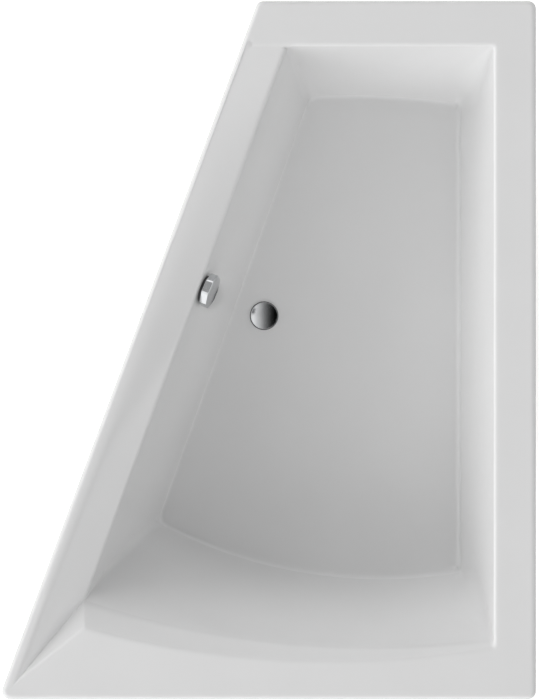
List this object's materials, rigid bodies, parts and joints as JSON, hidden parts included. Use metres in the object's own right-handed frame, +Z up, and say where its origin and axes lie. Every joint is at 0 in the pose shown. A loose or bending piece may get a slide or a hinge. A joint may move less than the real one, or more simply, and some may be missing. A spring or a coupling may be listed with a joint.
{
  "type": "built-in bathtub",
  "caption": "Built-in acrylic bath of trapezoid outline with a curved backrest, a rim that twists along its slanted side, a turn-knob overflow and lift-up waste, and adjustable feet.",
  "frame": {"origin": "floor under the middle of the bath's bounding box", "axes": "+X to the straight long side, +Y to the narrow foot end, +Z up"},
  "size_m": [1.3, 1.7, 0.6],
  "materials": {
    "acrylic": "high-gloss white acrylic",
    "fibreglass": "sprayed glass-fibre resin, uneven",
    "board": "raw chipboard",
    "zinc_steel": "zinc plated",
    "pad_plastic": "moulded, fine grain",
    "chrome": "polished chrome plate",
    "stainless": "bright stainless",
    "seal_rubber": "matt black",
    "waste_plastic": "light grey moulding",
    "nut_plastic": "dark grey moulding",
    "dark_plastic": "black moulding",
    "brass": "turned brass"
  },
  "bodies": {
    "bath": {"acrylic_shell": "acrylic", "fibreglass_backing": "fibreglass", "base_board": "board", "rail_foot": "zinc_steel", "rail_head": "zinc_steel", "rail_screws": "zinc_steel", "upper_nuts": "zinc_steel", "lower_nuts": "zinc_steel", "drain_flange": "chrome", "overflow_screws": "stainless", "flange_seal": "seal_rubber", "drain_gasket": "seal_rubber", "trap_seal": "seal_rubber", "outlet_seal": "seal_rubber", "overflow_gasket": "seal_rubber", "drain_body": "waste_plastic", "trap_pot": "waste_plastic", "outlet_pipe": "waste_plastic", "overflow_elbow": "waste_plastic", "overflow_pipe": "waste_plastic", "drum_cover": "waste_plastic", "trap_nut": "nut_plastic", "outlet_nut": "nut_plastic", "upper_pipe_nut": "nut_plastic", "lower_pipe_nut": "nut_plastic", "overflow_ring": "dark_plastic", "cable_glands": "brass"},
    "plug": {"plug_cap": "chrome", "plug_stem": "stainless", "plug_seal": "seal_rubber"},
    "knob": {"overflow_knob": "chrome", "knob_spindle": "brass", "cable_drum": "dark_plastic"},
    "crank": {"lift_crank": "dark_plastic"},
    "pin": {"push_pin": "dark_plastic"},
    "leg_foot_slant": {"leg_rod_foot_slant": "zinc_steel", "foot_pad_foot_slant": "pad_plastic"},
    "leg_foot_straight": {"leg_rod_foot_straight": "zinc_steel", "foot_pad_foot_straight": "pad_plastic"},
    "leg_head_slant": {"leg_rod_head_slant": "zinc_steel", "foot_pad_head_slant": "pad_plastic"},
    "leg_head_straight": {"leg_rod_head_straight": "zinc_steel", "foot_pad_head_straight": "pad_plastic"}
  },
  "joints": [
    {"name": "knob_turn", "type": "hinge", "parent": "bath", "child": "knob", "pos_m": [-0.16042, 0.15, 0.52498], "axis": [0.9114, -0.341, 0.2301], "range_deg": [0, 90]},
    {"name": "plug_lift", "type": "slide", "parent": "bath", "child": "plug", "axis": [0, 0, 1], "range_m": [0, 0.009]},
    {"name": "crank_swing", "type": "hinge", "parent": "bath", "child": "crank", "pos_m": [-0.01572, 0.0705, 0.132], "axis": [0.964, -0.2659, 0], "range_deg": [0, 31]},
    {"name": "pin_push", "type": "slide", "parent": "bath", "child": "pin", "axis": [0.2659, 0.964, 0], "range_m": [0, 0.0075]},
    {"name": "level_foot_slant", "type": "slide", "parent": "bath", "child": "leg_foot_slant", "axis": [0, 0, 1], "range_m": [-0.028, 0.02]},
    {"name": "level_foot_straight", "type": "slide", "parent": "bath", "child": "leg_foot_straight", "axis": [0, 0, 1], "range_m": [-0.028, 0.02]},
    {"name": "level_head_slant", "type": "slide", "parent": "bath", "child": "leg_head_slant", "axis": [0, 0, 1], "range_m": [-0.028, 0.02]},
    {"name": "level_head_straight", "type": "slide", "parent": "bath", "child": "leg_head_straight", "axis": [0, 0, 1], "range_m": [-0.028, 0.02]}
  ],
  "couplings": [
    {"joint": "plug_lift", "follows": "knob_turn", "m_per_rad": 0.0057295},
    {"joint": "crank_swing", "follows": "knob_turn", "ratio": 0.34444},
    {"joint": "pin_push", "follows": "knob_turn", "m_per_rad": 0.0047746}
  ]
}
